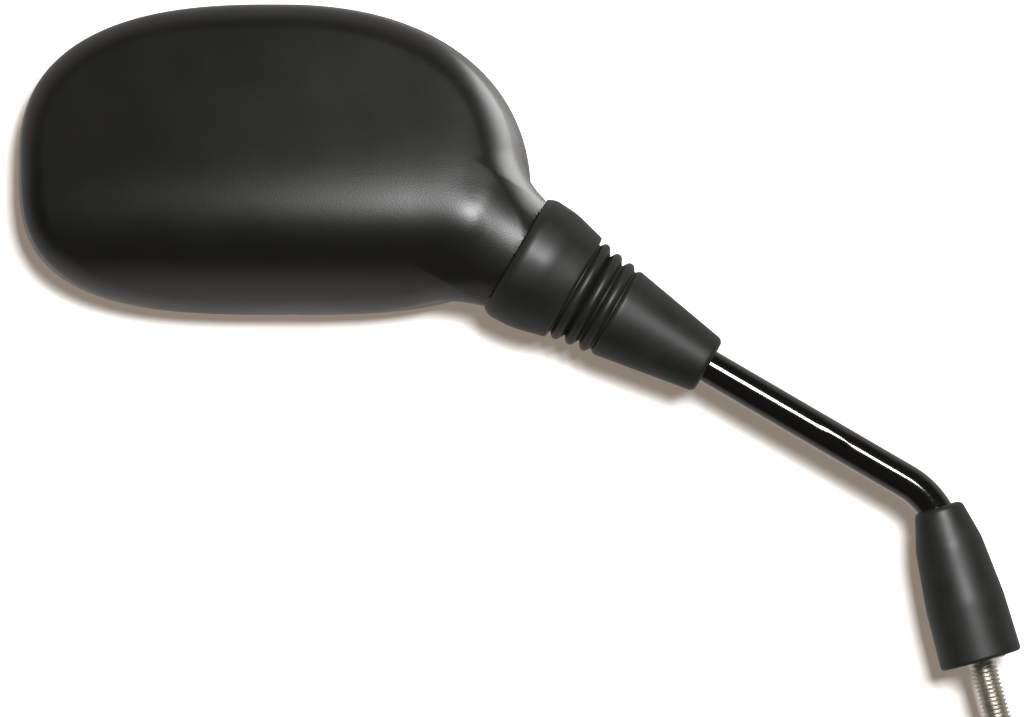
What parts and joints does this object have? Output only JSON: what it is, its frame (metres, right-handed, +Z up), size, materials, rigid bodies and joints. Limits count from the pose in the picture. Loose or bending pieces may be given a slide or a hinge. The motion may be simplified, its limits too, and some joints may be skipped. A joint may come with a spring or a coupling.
{
  "type": "motorcycle mirror",
  "caption": "Rear-view mirror for a motorcycle or scooter: moulded housing with convex glass, ball joint under a rubber boot, bent stem and threaded mounting stud.",
  "frame": {"origin": "where the stud's axis meets the mounting plane, the lower face of the adapter's hexagon", "axes": "+Z up the stud towards the stem, +X outboard, +Y forward; the glass faces -Y"},
  "size_m": [0.2491, 0.0433, 0.2706],
  "materials": {
    "housing_plastic": "fine-grained moulded black, satin",
    "moulded_rubber": "matt black rubber",
    "stem_paint": "gloss black paint",
    "zinc_plate": "bright zinc plate with a faint yellow tint",
    "spring_steel": "oiled spring steel",
    "ball_steel": "ground steel, greased",
    "bearing_plastic": "natural white moulded plastic",
    "mirror_coat": "silvered convex glass",
    "foam": "closed-cell foam"
  },
  "bodies": {
    "adapter": {"stud_adapter": "zinc_plate"},
    "stem": {"stem": "stem_paint", "pivot_ball": "ball_steel", "nut_cover": "moulded_rubber"},
    "washer": {"spring_washer": "spring_steel"},
    "nut": {"lock_nut": "zinc_plate"},
    "boot": {"bellows_boot": "moulded_rubber"},
    "socket": {"pressure_cup": "bearing_plastic", "disc_springs": "spring_steel"},
    "head": {"housing": "housing_plastic", "socket_cap": "bearing_plastic", "cap_screws": "zinc_plate", "mirror_glass": "mirror_coat", "foam_pad": "foam"}
  },
  "joints": [
    {"name": "stem_swivel", "type": "hinge", "parent": "adapter", "child": "stem", "pos_m": [0, 0, 0], "axis": [0, 0, 1], "range_deg": [-180, 180]},
    {"name": "washer_slide", "type": "slide", "parent": "stem", "child": "washer", "axis": [0, 0, 1], "range_m": [0, 0.005]},
    {"name": "nut_turn", "type": "hinge", "parent": "washer", "child": "nut", "pos_m": [0, 0, 0], "axis": [0, 0, 1], "range_deg": [0, 1440]},
    {"name": "head_swing", "type": "hinge", "parent": "stem", "child": "boot", "pos_m": [0.091, 0, 0.14423], "axis": [0, 1, 0], "range_deg": [-12, 12], "deforming": ["bellows_boot"]},
    {"name": "head_nod", "type": "hinge", "parent": "boot", "child": "socket", "pos_m": [0.091, 0, 0.14423], "axis": [0.7193, 0, -0.6947], "range_deg": [-12, 12], "deforming": ["bellows_boot"]},
    {"name": "head_twist", "type": "hinge", "parent": "socket", "child": "head", "pos_m": [0.091, 0, 0.14423], "axis": [0.6947, 0, 0.7193], "continuous": true}
  ],
  "couplings": [
    {"joint": "washer_slide", "follows": "nut_turn", "m_per_rad": 0.00019894}
  ]
}
